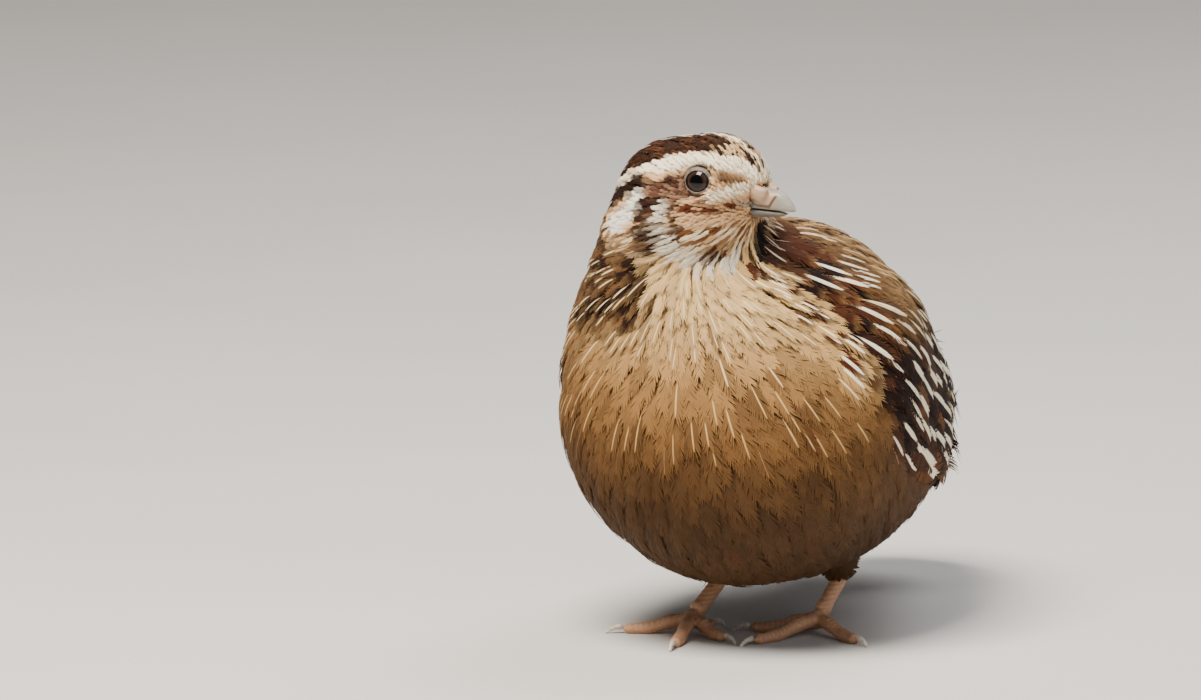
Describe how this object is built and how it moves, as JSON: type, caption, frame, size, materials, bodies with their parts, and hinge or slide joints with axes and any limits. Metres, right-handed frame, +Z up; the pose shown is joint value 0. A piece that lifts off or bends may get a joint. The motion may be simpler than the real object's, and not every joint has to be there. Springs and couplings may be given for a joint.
{
  "type": "coturnix quail model",
  "caption": "Still life-size model of a male coturnix quail, standing fluffed up with its head turned to its left.",
  "frame": {"origin": "middle of the model's footprint box, on the floor", "axes": "+Z up, the bird's body faces -Y, its left side is +X"},
  "size_m": [0.0818, 0.127, 0.1131],
  "materials": {
    "body_feathers": "soft buff body feathers with pale shaft streaks",
    "head_feathers": "short brown and cream head feathers",
    "wing_feathers": "dark brown wing feathers with cream shafts",
    "tail_feathers": "barred brown tail feathers",
    "bill_horn": "grey horn with a satin sheen",
    "leg_skin": "scaly flesh-coloured leg skin",
    "claw_horn": "pale claw horn",
    "eye": "wet dark brown eye"
  },
  "bodies": {
    "root": {"torso": "body_feathers", "neck": "body_feathers", "head": "head_feathers", "bill_upper": "bill_horn", "bill_lower": "bill_horn", "tail": "tail_feathers", "eye_left": "eye", "wing_left": "wing_feathers", "thigh_left": "body_feathers", "shank_left": "leg_skin", "foot_left": "leg_skin", "claw_inner_left": "claw_horn", "claw_middle_left": "claw_horn", "claw_outer_left": "claw_horn", "claw_hind_left": "claw_horn", "eye_right": "eye", "wing_right": "wing_feathers", "thigh_right": "body_feathers", "shank_right": "leg_skin", "foot_right": "leg_skin", "claw_inner_right": "claw_horn", "claw_middle_right": "claw_horn", "claw_outer_right": "claw_horn", "claw_hind_right": "claw_horn"}
  },
  "joints": []
}
